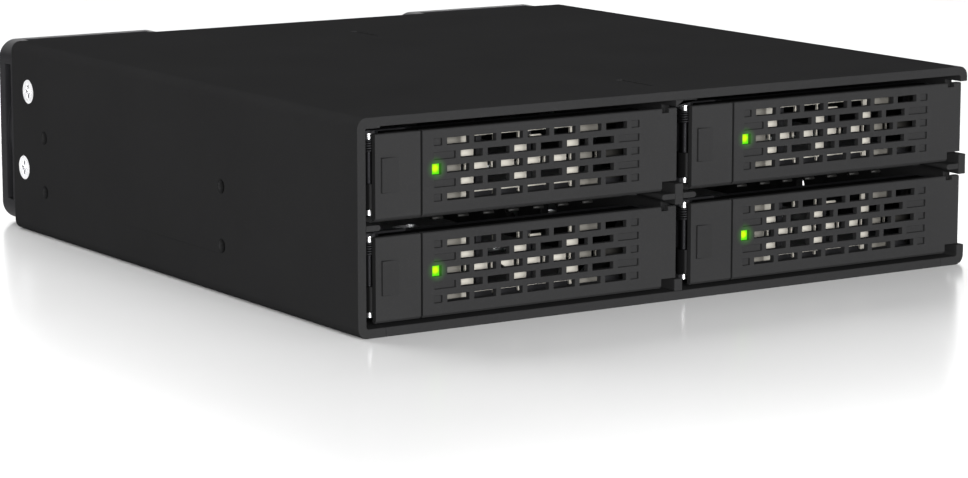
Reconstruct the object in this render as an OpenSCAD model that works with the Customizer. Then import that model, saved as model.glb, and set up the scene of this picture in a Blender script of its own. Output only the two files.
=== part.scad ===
// Hot-swap cage for four 2.5-inch drives, made to fill one half-height 5.25-inch bay.
// +X is to the right of someone facing the doors, the doors face -Y and +Z is up.
// The origin is under the middle of the whole object, on the plane it stands on.

/* [Case] */
// Width of the case, the standard 5.25-inch bay width
case_w = 146; // [145:0.5:148]
// Height of the case, the standard half-height bay
case_h = 41.3; // [41:0.1:42.5]
// Depth of the sheet-metal case, without the fans
case_d = 147; // [146:0.5:160]
// Thickness of the case sheet
wall = 1.8; // [1.6:0.1:1.9]
// Outer corner radius of the case
case_r = 2; // [1:0.1:2.4]
// Thickness of the centre divider
divider_t = 1.9; // [1.8:0.1:2]
// Thickness of the two middle shelves
shelf_t = 1.15; // [1:0.05:1.3]
// Depth of the slits that the door cams turn in
notch_d = 8.2; // [8.2:0.1:10]

/* [Mounting holes] */
// Distance from the case front to the first side hole
hole_front = 52.4; // [48:0.1:56]
// Spacing of the mounting holes along the case
hole_pitch = 79.24; // [79:0.01:79.5]
// Height of the lower side holes
hole_low = 10; // [9.5:0.1:10.5]
// Height of the upper side holes
hole_high = 21.84; // [21.5:0.01:22]
// Radius of the mounting screw holes
hole_r = 1.3; // [1.2:0.05:1.5]
// Spacing of the bottom holes across the case
bottom_pitch = 139.7; // [139:0.1:140]

/* [Trays] */
// Height of one row of trays
row_pitch = 19.25; // [19.2:0.01:19.3]
// How far the door faces sit behind the front of the case
door_set = 0.2; // [0.2:0.05:0.4]
// Thickness of the door skins
skin_t = 1.3; // [1.2:0.05:1.4]
// Depth of the rims behind the door skins, measured from the door face
rim_d = 4.4; // [4:0.1:4.6]
// Thickness of the tray bed
bed_t = 1.2; // [1:0.1:1.2]
// Length of the tray, from the case front to the end of the bed
bed_end = 112; // [108:1:114]

/* [Door grille] */
// Length of a ventilation slot
slot_w = 4.9; // [4:0.1:5.2]
// Height of a ventilation slot
slot_h = 1.38; // [1.2:0.01:1.6]
// Spacing of the slots along a row
slot_pitch = 6.01; // [5.8:0.01:6.1]
// Spacing of the rows
slot_rise = 2.62; // [2.5:0.01:2.7]

/* [Fans] */
// Side of the square fan frames
fan_w = 40; // [38:0.5:40]
// Thickness of the fans
fan_t = 10; // [10:0.5:15]
// Spacing of the fan screws
fan_pitch = 32; // [31:0.5:32]

/* [Hidden] */
$fn = 48;
TRAY_PARTS = ["bed", "frame", "vent", "light_pipe", "lever", "lever_pin", "latch", "latch_pin", "spring"];

// Faces of the case
wedge_proud = 0.4;
front = wedge_proud - (case_d + fan_t + wedge_proud) / 2;
rear = front + case_d;
half_w = case_w / 2;
inner_x = half_w - wall;
inner_top = case_h - wall;
bay_w = inner_x - divider_t / 2;
roll_w = 6;
inner_r = 0.5;

// Rows and ears
row_z = [row_pitch, row_pitch, 0, 0];
shelf_z = 20.05;
shelf_set = 9;
ear_w = 3.15;
stem_low = 4.2;
stem_mid = [18.95, 23.1];
stem_high = 38.2;
step_d = 4.8;
tab_at = [9.8, 113.7];
tab_len = [10.8, 9.8];
tab_t = 1.2;
ledge_h = 0.3;
ledge_d = 8;

// Boards behind the bays
board_t = 1.6;
board_at = 124;
socket_w = 40;
socket_d = 6.5;
socket_left = 15;
socket_z = [5.2, 10.8];
panel_t = 1.6;
panel_at = case_d - panel_t;
flange_t = 1.2;
side_screw_at = [[139.2, 31.1], [141.9, 14.2]];
port_h = 6.4;
port_d = 17.6;
port_mouth = 3.6;
port_start = board_at + board_t + 3.3;
data_at = [-29.1, 14.8];
data_w = 13.8;
power_at = [-25.4, 28];
power_w = 22.8;
port_board_z = [20.1, 21.7];
port_z = [port_board_z[0] - port_h, port_board_z[1]];
fan_x = half_w - 1.7 - fan_w / 2;
fan_z = case_h / 2;
duct_r = 18.6;
hub_r = 9;
flange_front = 4.4;
flange_back = 2.8;
hub_plate = 1.3;
corner_w = 5;
label_set = 0.2;
fan_axle_r = 1;

// Door and latch, in a tray's own frame: u from the left wall of the bay,
// v from the case front and w from the base of the row
door_low = 2.57;
door_high = 18.77;
door_left = 12.4;
door_right = 70.6;
latch_left = 2.1;
latch_right = 11.95;
rim_t = 1;
lever_axis = [67.9, 3.4];
lever_pin_r = 0.75;
latch_axis = [2.46, 3.1];
latch_pin_r = 0.8;
run_gap = 0.05;
wedge_left = 3.3;
wedge_w = 4;
nose_at = [8, 14.4];
nose_right = 71.1;
nose_r = 0.65;
barrel_at = [4.5, 9.4];
barrel_r = 1.5;
row_mid = 11.1;
slot_first = 17.8;
grille_left = 14.9;
grille_right = 61.7;
led_at = [15.5, 11.25];
led_w = 2.05;
guide_front = 0.9;
guide_bend = [6, 8];
guide_low = 2.1;
bed_low = 3.2;
bed_start = 11.4;
bed_left = 0.35;
bed_right = 69.9;
rail_at = [3.6, 64.15];
rail_w = 2.5;
rail_low = 2.05;
drive_hole_at = [27.6, 104.2];
drive_hole_pitch = 61.72;
frame_at = 5.6;
frame_t = 2.4;
frame_high = 18.5;
frame_left = 12.9;
frame_right = 63.4;
ear_at = [[4.6, 6.2], [16.2, 17.8]];
ear_r = 1.3;
clip_at = [[3.3, 4.3], [17.9, 19.1]];
vent_left = 17;
vent_right = 62.6;
vent_low = 4.6;
vent_high = 18.2;
vent_mid = [9.1, 11.3];
vent_t = 0.6;
blind_d = 0.6;
window_w = 10;
window_pitch = 11.3;

// ---------------------------------------------------------------- helpers

// Extrudes a shape drawn in X and Z along +Y from y = 0
module along_y(d) {
    translate([0, d, 0]) rotate([90, 0, 0]) linear_extrude(d) children();
}

// Extrudes a shape drawn in Y and Z along +X from x = 0
module along_x(d) {
    rotate([90, 0, 90]) linear_extrude(d) children();
}

// Rectangle with round corners, its lower left corner at the origin
module rounded(w, h, r) {
    translate([r, 0]) square([w - 2 * r, h]);
    translate([0, r]) square([w, h - 2 * r]);
    for (x = [r, w - r], y = [r, h - r]) translate([x, y]) circle(r);
}

// Cylinder along +Y from y = 0
module rod_y(r, d) {
    rotate([-90, 0, 0]) cylinder(r = r, h = d);
}

// Cylinder along +X from x = 0
module rod_x(r, d) {
    rotate([0, 90, 0]) cylinder(r = r, h = d);
}

// Box given by its low corner and its high corner
module block(low, high) {
    translate(low) cube(high - low);
}

// Cross-head recess, open towards +Z at z = 0
module cross_recess(w, depth) {
    for (a = [0, 90]) rotate(a) translate([-w / 2, -w / 8, -depth]) cube([w, w / 4, depth + 1]);
    translate([0, 0, -depth]) cylinder(r = w / 4, h = depth + 1);
}

// Flat-head screw with its head's top at z = 0 and its shank along -Z
module flat_screw(head_r, head_t, shank_r, len) {
    difference() {
        union() {
            translate([0, 0, -head_t]) cylinder(r1 = shank_r, r2 = head_r, h = head_t);
            translate([0, 0, -len]) cylinder(r = shank_r, h = len - head_t / 2);
        }
        cross_recess(head_r * 1.1, head_t * 0.8);
    }
}

// Places children in the frame of tray 1 to 4: upper left, upper right, lower left, lower right
module in_bay(t) {
    bay_x = t % 2 == 1 ? -inner_x : divider_t / 2;
    translate([bay_x, front, row_z[t - 1]]) children();
}

// ---------------------------------------------------------------- case

module side_holes() {
    for (y = [hole_front, hole_front + hole_pitch], z = [hole_low, hole_high], s = [-1, 1])
        translate([0, front + y, z]) rotate([0, 90 * s, 0]) {
            cylinder(r = hole_r, h = half_w + 1);
            translate([0, 0, half_w - 0.15]) cylinder(r1 = hole_r, r2 = hole_r + 0.2, h = 0.2);
        }
}

module side_screw_seats() {
    for (at = side_screw_at, s = [-1, 1])
        translate([s * half_w, front + at[0], at[1]]) rotate([0, 90 * s, 0]) {
            translate([0, 0, -1.35]) cylinder(r1 = 1.55, r2 = 2.75, h = 1.36);
            translate([0, 0, -wall - 1]) cylinder(r = 1.55, h = wall + 1);
        }
}

module case_shell() {
    color("#2a2a2a") {
        folded_sheet();
        ledge(-inner_x);
    }
}

// Steps at the front edge of a wall that free the right end of each door, with deeper slits for the cams
module door_notches(d) {
    for (z = [[stem_low, stem_mid[0]], [stem_mid[1], stem_high]])
        block([0, front - 1, z[0]], [d, front + step_d, z[1]]);
    for (z = [0, row_pitch])
        block([0, front, z + nose_at[0] - 0.6], [d, front + notch_d, z + nose_at[1] + 0.6]);
}

// Low ledge at the top left of an opening
module ledge(left_x) {
    block([left_x - 0.1, front, inner_top - ledge_h], [left_x + ear_w, front + ledge_d, inner_top + 0.1]);
}

module folded_sheet() {
    difference() {
        translate([-half_w, front, 0]) along_y(case_d) rounded(case_w, case_h, case_r);
        translate([-inner_x, front - 1, wall])
            along_y(case_d + 2) rounded(2 * inner_x, case_h - 2 * wall, inner_r);
        block([roll_w - half_w, front - 1, -1], [half_w - roll_w, rear + 1, wall + 0.01]);
        translate([inner_x - 1, 0, 0]) door_notches(wall + 2);
        for (i = [0, 1])
            block([-tab_t / 2 - 0.15, front + tab_at[i] - 0.15, inner_top - 1],
                  [tab_t / 2 + 0.15, front + tab_at[i] + tab_len[i] + 0.15, case_h + 1]);
        intersection() {
            side_holes();
            union() {
                block([-half_w - 2, front, 0], [-inner_x + 1, rear, case_h]);
                block([inner_x - 1, front, 0], [half_w + 2, rear, case_h]);
            }
        }
        side_screw_seats();
        for (x = [-1, 1], y = [hole_front, hole_front + hole_pitch])
            translate([x * bottom_pitch / 2, front + y, -1]) cylinder(r = hole_r, h = wall + 2);
    }
}

module bottom_plate() {
    color("#2a2a2a")
    difference() {
        block([roll_w - half_w, front, 0], [half_w - roll_w, rear, wall]);
        for (x = [-50:20:50], y = [40:12:112])
            translate([x, front + y, -1]) along_slot(8, 2.4, wall + 2);
    }
}

// Slot with round ends along X, centred, cut along +Z
module along_slot(len, w, h) {
    translate([-(len - w) / 2, -w / 2, 0]) cube([len - w, w, h]);
    for (s = [-1, 1]) translate([s * (len - w) / 2, 0, 0]) cylinder(r = w / 2, h = h);
}

module divider() {
    color("#303030")
    difference() {
        union() {
            block([-divider_t / 2, front, wall], [divider_t / 2, front + board_at, inner_top]);
            for (i = [0, 1])
                block([-tab_t / 2, front + tab_at[i], inner_top - 1],
                      [tab_t / 2, front + tab_at[i] + tab_len[i], case_h - 0.2]);
            block([0, front, inner_top - ledge_h], [divider_t / 2 + ear_w, front + ledge_d, inner_top]);
        }
        translate([-2, 0, 0]) door_notches(4);
        for (y = [30:14:100], z = [11, 30])
            translate([-2, front + y, z]) rod_x(3, 4);
    }
}

// One half shelf: a vented plate whose two ears reach the case front
module shelf(left_x) {
    color("#303030")
    difference() {
        union() {
            block([left_x, front + shelf_set, shelf_z], [left_x + bay_w, front + board_at, shelf_z + shelf_t]);
            for (ear = [0, 1])
                translate([left_x + ear * (bay_w - ear_w), front, shelf_z]) along_y(shelf_set + 0.5) {
                    translate([ear == 0 ? 0 : shelf_t / 2, 0]) square([ear_w - shelf_t / 2, shelf_t]);
                    translate([ear == 0 ? ear_w - shelf_t / 2 : shelf_t / 2, shelf_t / 2]) circle(shelf_t / 2);
                }
        }
        for (x = [8:9:62], y = [13, 20, 96, 106, 116])
            translate([left_x + x, front + y, shelf_z - 1]) along_slot(6.5, 3, shelf_t + 2);
    }
}

module shelf_left() {
    shelf(-inner_x);
}

module shelf_right() {
    shelf(divider_t / 2);
}

// ---------------------------------------------------------------- rear

module fan_screw_spots() {
    for (s = [-1, 1], x = [-1, 1], z = [-1, 1])
        translate([s * fan_x + x * fan_pitch / 2, rear, fan_z + z * fan_pitch / 2]) children();
}

module rear_panel() {
    color("#262626")
    difference() {
        union() {
            translate([-inner_x, front + panel_at, wall])
                along_y(panel_t) rounded(2 * inner_x, inner_top - wall, inner_r);
            for (s = [-1, 1])
                translate([s * (inner_x - flange_t / 2) - flange_t / 2, front + board_at + board_t, wall + 2])
                    cube([flange_t, panel_at - board_at - board_t + 0.1, inner_top - wall - 4]);
        }
        for (s = [-1, 1], row = [-4:4], half = [-1, 1]) {
            reach = sqrt(pow(duct_r - 1.2, 2) - pow(abs(row) * 4 + 1.3, 2));
            translate([s * fan_x + half * (reach / 2 + 0.6), front + panel_at - 1, fan_z + row * 4])
                rotate([-90, 0, 0]) along_slot(reach - 0.6, 2.6, panel_t + 2);
        }
        fan_screw_spots() translate([0, -panel_t - 1, 0]) rod_y(1.3, panel_t + 2);
        for (i = [0:3])
            translate([data_at[0] - 0.1 + i * data_at[1], rear - 3, port_z[1]]) cube([data_w + 0.2, 4, port_h]);
        for (i = [0, 1])
            translate([power_at[0] - 0.1 + i * power_at[1], rear - 3, port_z[0]]) cube([power_w + 0.2, 4, port_h]);
        for (at = side_screw_at, s = [-1, 1])
            translate([s * half_w, front + at[0], at[1]]) rotate([0, -90 * s, 0]) cylinder(r = 1.25, h = 6);
    }
}

// A cable port: a shrouded block whose mouth faces +Y, with a tongue inside
module port(w) {
    difference() {
        cube([w, port_d, port_h]);
        translate([1.2, port_d - 8, (port_h - port_mouth) / 2]) cube([w - 2.4, 9, port_mouth]);
    }
    translate([2, port_d - 8.6, port_h / 2 - 0.9]) cube([w - 4, 7, 1.1]);
}

module data_ports() {
    color("#1c1c1e")
    for (i = [0:3])
        translate([data_at[0] + i * data_at[1], front + port_start, port_z[1]]) port(data_w);
}

module power_ports() {
    color("#1c1c1e")
    for (i = [0, 1])
        translate([power_at[0] + i * power_at[1], front + port_start, port_z[0]]) port(power_w);
}

module port_board() {
    color("#1f5a38")
    block([-30, front + board_at + board_t, port_board_z[0]], [30, front + panel_at - 1, port_board_z[1]]);
}

module backplane() {
    color("#1f5a38")
    difference() {
        block([-70.7, front + board_at, 2.6], [70.7, front + board_at + board_t, 38.8]);
        for (s = [-1, 1], x = [10, 26, 42], z = [13.4, 32.6])
            translate([s * (x + 7) - 6, front + board_at - 1, z]) cube([12, board_t + 2, 4.6]);
        standoff_spots() translate([0, -1, 0]) rod_y(1.3, board_t + 2);
    }
}

// Spots of the four board screws, on the front face of the backplane
module standoff_spots() {
    for (x = [-8, 8], z = [5, 36.3]) translate([x, front + board_at, z]) children();
}

module backplane_screws() {
    color("#c9ccd0")
    standoff_spots() {
        translate([0, -1.1, 0]) rod_y(2.2, 1.1);
        rod_y(1.3, 6);
    }
}

// Six-sided posts between the backplane and the rear panel
module standoffs() {
    color("#c2a35a")
    standoff_spots() difference() {
        translate([0, board_t, 0]) rotate([-90, 0, 0])
            cylinder(r = 2.9, h = panel_at - board_at - board_t, $fn = 6);
        rod_y(1.3, board_t + 6);
    }
}

// Receptacle that a drive plugs into, one per bay
module drive_socket(t) {
    color("#18181a")
    in_bay(t)
    difference() {
        block([socket_left, board_at - socket_d, socket_z[0]], [socket_left + socket_w, board_at, socket_z[1]]);
        for (u = [[2.5, 21.5], [23.5, 37.5]])
            block([socket_left + u[0], board_at - socket_d - 1, socket_z[0] + 1.4],
                  [socket_left + u[1], board_at - 1.5, socket_z[1] - 1.6]);
    }
}

module side_screws() {
    color("#d8dade")
    for (at = side_screw_at, s = [-1, 1])
        translate([s * (half_w - 0.05), front + at[0], at[1]]) rotate([0, 90 * s, 0])
            flat_screw(2.62, 1.25, 1.25, 4.6);
}

module fan_screws() {
    color("#2c2c2e")
    fan_screw_spots() translate([0, fan_t, 0]) rotate([-90, 0, 0]) flat_screw(2.1, 1.6, 1.3, fan_t + 3);
}

// ---------------------------------------------------------------- fans

module fan_frame(s) {
    color("#1b1b1d")
    translate([s * fan_x, rear, fan_z])
    difference() {
        union() {
            translate([-fan_w / 2, 0, -fan_w / 2]) along_y(flange_front) rounded(fan_w, fan_w, 4);
            translate([-fan_w / 2, fan_t - flange_back, -fan_w / 2])
                along_y(flange_back) rounded(fan_w, fan_w, 4);
            rod_y(duct_r + 0.9, fan_t);
            for (x = [-1, 1], z = [-1, 1])
                translate([x * fan_pitch / 2, 0, z * fan_pitch / 2]) rod_y(2.9, fan_t);
            translate([-fan_w / 2, 0, -fan_w / 2]) along_y(fan_t) intersection() {
                rounded(fan_w, fan_w, 4);
                for (x = [0, fan_w - corner_w], z = [0, fan_w - corner_w]) translate([x, z]) square(corner_w);
            }
        }
        difference() {
            translate([0, -1, 0]) rod_y(duct_r, fan_t + 2);
            translate([0, fan_t - hub_plate, 0]) rod_y(hub_r + 0.4, hub_plate);
            for (a = [45:90:315])
                rotate([0, a, 0]) block([hub_r, fan_t - hub_plate, -0.9], [duct_r + 1, fan_t, 0.9]);
            translate([0, 3.6, 0]) rod_y(2.6, fan_t - 4);
        }
        translate([0, 3, 0]) rod_y(fan_axle_r + run_gap, 5.8);
        translate([0, fan_t - label_set, 0]) rod_y(hub_r - 0.6, 1);
        for (x = [-1, 1], z = [-1, 1])
            translate([x * fan_pitch / 2, 0, z * fan_pitch / 2]) {
                translate([0, -1, 0]) rod_y(1.4, fan_t + 2);
                translate([0, fan_t - 1.7, 0]) rod_y(2.2, 2);
            }
    }
}

module fan_rotor(s) {
    color("#232326")
    translate([s * fan_x, rear, fan_z]) {
        difference() {
            translate([0, 0.6, 0]) rod_y(hub_r, 7.6);
            translate([0, 2, 0]) rod_y(hub_r - 1.1, 7);
        }
        translate([0, 1.8, 0]) rod_y(fan_axle_r, 6);
        for (i = [0:6])
            rotate([0, i * 360 / 7, 0]) intersection() {
                difference() {
                    translate([0, 0.8, 0]) rod_y(duct_r - 0.5, 7.2);
                    rod_y(hub_r - 0.5, 9);
                }
                translate([hub_r - 1, 4.4, 0]) rotate([52, 0, 0]) block([0, -6, -0.5], [12, 6, 0.5]);
            }
    }
}

// ---------------------------------------------------------------- trays

// Door skin profile across V and W, its lower edge bevelled
module skin_profile() {
    bevel = 0.5;
    polygon([
        [door_set, door_low + bevel],
        [door_set + bevel, door_low],
        [door_set + skin_t, door_low],
        [door_set + skin_t, door_high],
        [door_set + 0.2, door_high],
        [door_set, door_high - 0.2]
    ]);
}

module bed(t) {
    color("#8f9297")
    in_bay(t)
    difference() {
        union() {
            block([bed_left, bed_start, bed_low], [bed_right, bed_end, bed_low + bed_t]);
            for (u = rail_at)
                block([u, bed_start + 0.6, rail_low], [u + rail_w, bed_end - 2, bed_low + 0.1]);
        }
        for (u = [22:9:58], v = [36:11:96])
            translate([u, v, bed_low - 1]) along_slot(6.5, 4, bed_t + 2);
        for (s = [-1, 1], v = drive_hole_at)
            translate([bay_w / 2 + s * drive_hole_pitch / 2, v, bed_low - 2]) cylinder(r = 1.65, h = bed_t + 3);
    }
}

// Front frame of a tray: four windows for air, ears for the door pin and clips for the latch pin
module frame(t) {
    color("#1d1d1f")
    in_bay(t)
    difference() {
        union() {
            block([frame_left, frame_at, bed_low], [frame_right, frame_at + frame_t, frame_high]);
            block([1.5, 7.2, bed_low], [frame_left + 0.1, 8.6, frame_high]);
            for (w = clip_at)
                block([latch_axis[0] - 1.1, latch_axis[1], w[0]], [latch_axis[0] + 1.4, 8.6, w[1]]);
            block([bed_left, frame_at + frame_t, bed_low], [bed_right, bed_start, bed_low + bed_t]);
            for (w = ear_at) {
                block([63, lever_axis[1] + 0.9, w[0]], [69, frame_at + frame_t + 1, w[1]]);
                translate([lever_axis[0], lever_axis[1], w[0]]) cylinder(r = ear_r, h = w[1] - w[0]);
                block([lever_axis[0] - ear_r, lever_axis[1], w[0]], [lever_axis[0] + 1.1, frame_at, w[1]]);
            }
            block([63, frame_at, bed_low], [69, frame_at + frame_t + 1, ear_at[0][1]]);
        }
        for (i = [0:3])
            translate([17.6 + i * window_pitch, frame_at - 1, 5.8]) cube([window_w, frame_t + 2, 11.2]);
        translate([led_at[0] - led_w / 2 - 0.02, frame_at - 1, 1])
            cube([led_w + 0.04, 8, led_at[1] + led_w / 2 - 0.98]);
        translate([latch_axis[0], latch_axis[1], 0]) cylinder(r = latch_pin_r, h = 25);
        translate([lever_axis[0], lever_axis[1], 0]) cylinder(r = lever_pin_r, h = 25);
    }
}

// Perforated shield behind the door's slots
module vent(t) {
    color("#cfcabd")
    in_bay(t)
    difference() {
        block([vent_left, frame_at - vent_t, vent_low], [vent_right, frame_at, vent_high]);
        for (i = [0:5]) {
            vent_window(slot_first + 6.05 + i * slot_pitch, vent_mid, 0.85);
            vent_window(slot_first + 7.2 + i * slot_pitch, vent_mid, 1.7);
        }
        for (i = [0:2], w = [[6.4, 8.4], [11.9, 13.9]])
            vent_window(slot_first + 8.9 + i * 2 * slot_pitch, w, 9);
        for (w = [[vent_low - 1, 5.4], [14.5, 16.1]]) {
            vent_window(slot_first + 8.8, w, 4.6);
            vent_window(slot_first + 14.9, w, 4.1);
            vent_window(slot_first + 19.3, w, 2.5);
            vent_window(slot_first + 24.3, w, 6.6);
            vent_window(slot_first + 39.1, w, 4);
        }
        for (w = [[vent_low - 1, 5.4], [15.3, 16.1]]) vent_window(slot_first + 21.8, w, 2.5);
    }
}

// Window in the shield, given by its left edge, its two heights and its width
module vent_window(left, w, wide) {
    block([left, frame_at - vent_t - 1, w[0]], [left + wide, frame_at + 1, w[1]]);
}

// Clear guide that carries light from the rear board to the window in the door
module light_pipe(t) {
    half = led_w / 2 - 0.125;
    color("#8dff2a")
    in_bay(t)
    translate([led_at[0] - half, 0, 0]) {
        block([0, guide_front, led_at[1] - led_w / 2], [2 * half, guide_bend[1], led_at[1] + led_w / 2]);
        block([0, guide_bend[0], guide_low], [2 * half, guide_bend[1], led_at[1]]);
        block([0, guide_bend[0], guide_low], [2 * half, bed_end, guide_low + 1]);
    }
}

// All slots of one door: open ones, or the blind ones that finish the pattern
module grille_slots(blind) {
    for (row = [-2:2]) {
        odd = row % 2 == 0;
        start = slot_first + (odd ? 0 : slot_pitch / 2 - 0.02);
        count = odd ? 7 : 6;
        w = row_mid + row * slot_rise - slot_h / 2;
        if (blind) {
            for (i = [-1, count]) {
                low = max(grille_left, start + i * slot_pitch);
                high = min(grille_right, start + i * slot_pitch + slot_w);
                if (high - low > 0.5 && !(row == 0 && i == -1))
                    block([low, 0, w], [high, door_set + blind_d, w + slot_h]);
            }
        } else {
            for (i = [0:count - 1])
                block([start + i * slot_pitch, 0, w], [start + i * slot_pitch + slot_w, 3, w + slot_h]);
        }
    }
}

// The grille door is also the eject lever: it turns on a pin at its right end,
// where a cam nose works in the notch of the wall
module lever(t) {
    color("#3c3c3d")
    in_bay(t)
    difference() {
        union() {
            translate([door_left, 0, 0]) along_x(door_right - door_left) skin_profile();
            for (w = [door_low, door_high - rim_t])
                block([door_left, door_set + 1, w], [63, door_set + rim_d, w + rim_t]);
            for (w = [[door_low, 7], [14.2, door_high]])
                block([door_left, door_set + 1, w[0]], [door_left + rim_t, door_set + rim_d, w[1]]);
            translate([lever_axis[0], lever_axis[1], 6.4]) cylinder(r = 1.7, h = 9.6);
            block([lever_axis[0] - 1.7, door_set + 1, 6.4], [lever_axis[0] + 1.4, lever_axis[1], 16]);
            block([lever_axis[0], lever_axis[1] + 0.4, nose_at[0]],
                  [nose_right, lever_axis[1] + 0.4 + 2 * nose_r, nose_at[1]]);
            translate([nose_right, lever_axis[1] + 0.4 + nose_r, nose_at[0]])
                cylinder(r = nose_r, h = nose_at[1] - nose_at[0]);
        }
        grille_slots(false);
        grille_slots(true);
        block([67.2, -1, 0], [door_right + 1, 3, 4.45]);
        block([67.1, -1, door_high - 0.85], [68.7, 3, 30]);
        translate([led_at[0] - led_w / 2, -1, led_at[1] - led_w / 2]) cube([led_w, 5, led_w]);
        translate([lever_axis[0], lever_axis[1], 0]) cylinder(r = lever_pin_r + run_gap, h = 30);
    }
}

module lever_pin(t) {
    color("#c9ccd0")
    in_bay(t)
    translate([lever_axis[0], lever_axis[1], 4.7]) cylinder(r = lever_pin_r, h = 13);
}

// Sprung flap that is pressed in to free the door, with a low wedge that marks where to press
module latch(t) {
    color("#3c3c3d")
    in_bay(t)
    difference() {
        union() {
            translate([latch_left, 0, 0]) along_x(latch_right - latch_left) skin_profile();
            for (w = [door_low, door_high - rim_t])
                block([5, door_set + 1, w], [latch_right, door_set + rim_d - 0.6, w + rim_t]);
            translate([latch_axis[0], latch_axis[1], barrel_at[0]])
                cylinder(r = barrel_r, h = barrel_at[1] - barrel_at[0]);
            block([latch_left + 0.3, door_set + 1, barrel_at[0]], [4.6, latch_axis[1], barrel_at[1]]);
            block([latch_axis[0] + 0.9, latch_axis[1] - 0.1, barrel_at[0]], [4.6, latch_axis[1] + 1.2, barrel_at[1]]);
            block([11, door_set + 1, 8], [latch_right, 4, 13.4]);
            block([11, 2.6, 8], [13, 4, 13.4]);
            translate([wedge_left, 0, 7.8]) wedge();
        }
        translate([latch_axis[0], latch_axis[1], 0]) cylinder(r = latch_pin_r + run_gap, h = 30);
    }
}

// Finger wedge, highest at its left edge and running out flush to the right
module wedge() {
    linear_extrude(6.5) polygon([
        [0, -wedge_proud],
        [wedge_w, door_set + 0.01],
        [wedge_w, door_set + 0.5],
        [0, door_set + 0.5]
    ]);
}

module latch_pin(t) {
    color("#d8dade")
    in_bay(t)
    translate([latch_axis[0], latch_axis[1], clip_at[0][0] + 0.1])
        cylinder(r = latch_pin_r, h = clip_at[1][0] + 0.7 - clip_at[0][0]);
}

// Torsion spring: five closed turns under the top end of the pin, and one straight leg
module spring(t) {
    wire_r = 0.24;
    coil_r = 1.2;
    coil_low = 15.3;
    color("#55565a")
    in_bay(t)
    translate([latch_axis[0], latch_axis[1], coil_low]) {
        for (i = [0:4])
            translate([0, 0, i * 0.56]) rotate_extrude() translate([coil_r, 0]) circle(wire_r + 0.045);
        translate([coil_r - 0.1, 0.2, 0]) rotate([-90, 0, 0]) cylinder(r = wire_r, h = 3.9);
    }
}

// ---------------------------------------------------------------- all pieces

case_shell();
bottom_plate();
divider();
shelf_left();
shelf_right();
rear_panel();
backplane();
port_board();
data_ports();
power_ports();
standoffs();
backplane_screws();
side_screws();
fan_screws();
fan_frame(-1);  // fan_left_frame
fan_rotor(-1);  // fan_left_rotor
fan_frame(1);  // fan_right_frame
fan_rotor(1);  // fan_right_rotor
for (t = [1:4]) {
    drive_socket(t);
    bed(t);
    frame(t);
    vent(t);
    light_pipe(t);
    lever(t);
    lever_pin(t);
    latch(t);
    latch_pin(t);
    spring(t);
}
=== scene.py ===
"""Looks of a hot-swap drive cage: finishes for its pieces, its small fittings, and a studio to stand in."""

import math

import bmesh
import bpy
from bpy.props import FloatProperty, FloatVectorProperty, IntProperty, PointerProperty
from mathutils import Matrix, Vector


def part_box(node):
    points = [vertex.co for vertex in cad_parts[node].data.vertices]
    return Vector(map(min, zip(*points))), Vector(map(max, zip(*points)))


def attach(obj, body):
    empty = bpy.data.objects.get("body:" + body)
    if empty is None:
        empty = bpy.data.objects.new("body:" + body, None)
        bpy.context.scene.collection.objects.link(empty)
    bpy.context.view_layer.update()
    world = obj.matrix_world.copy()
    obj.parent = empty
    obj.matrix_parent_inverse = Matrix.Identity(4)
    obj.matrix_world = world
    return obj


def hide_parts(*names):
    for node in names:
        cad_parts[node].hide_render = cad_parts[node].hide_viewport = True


bl_info = {
    "name": "Drive Cage Looks",
    "version": (1, 0, 0),
    "blender": (4, 5, 0),
    "location": "View3D > Sidebar > Drive Cage",
    "description": "Finishes the drive cage, adds its small fittings and sets up the studio",
    "category": "Object",
}

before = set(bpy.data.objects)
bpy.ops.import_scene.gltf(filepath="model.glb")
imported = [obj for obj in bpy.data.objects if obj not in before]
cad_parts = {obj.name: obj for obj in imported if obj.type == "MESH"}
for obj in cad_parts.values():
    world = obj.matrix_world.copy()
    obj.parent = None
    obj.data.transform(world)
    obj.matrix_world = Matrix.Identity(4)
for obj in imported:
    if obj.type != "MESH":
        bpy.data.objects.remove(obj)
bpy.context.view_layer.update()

MM = 0.001
TRAYS = (1, 2, 3, 4)
SIDES = ("left", "right")

# How far a finish's lines are drawn together along each axis
EVEN = (1.0, 1.0, 1.0)
RINGS_ON_Y = (1.0, 12.0, 1.0)
RINGS_ON_Z = (1.0, 1.0, 12.0)

DARK = (0.0, 0.0, 0.0)
NEAR_BLACK = (0.012, 0.012, 0.013)


# ------------------------------------------------------------------ sizes, colours and studio


def length(name, description, default, least=0.0):
    """A length that the panel shows"""
    return FloatProperty(
        name=name, description=description, default=default, min=least, unit="LENGTH", subtype="DISTANCE"
    )


def colour_of(name, description, default):
    """A colour that the panel shows"""
    return FloatVectorProperty(
        name=name, description=description, default=default, size=3, min=0.0, max=1.0, subtype="COLOR"
    )


def power(name, description, default):
    """The power of a light that the panel shows"""
    return FloatProperty(name=name, description=description, default=default, min=0.0, unit="POWER")


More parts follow.
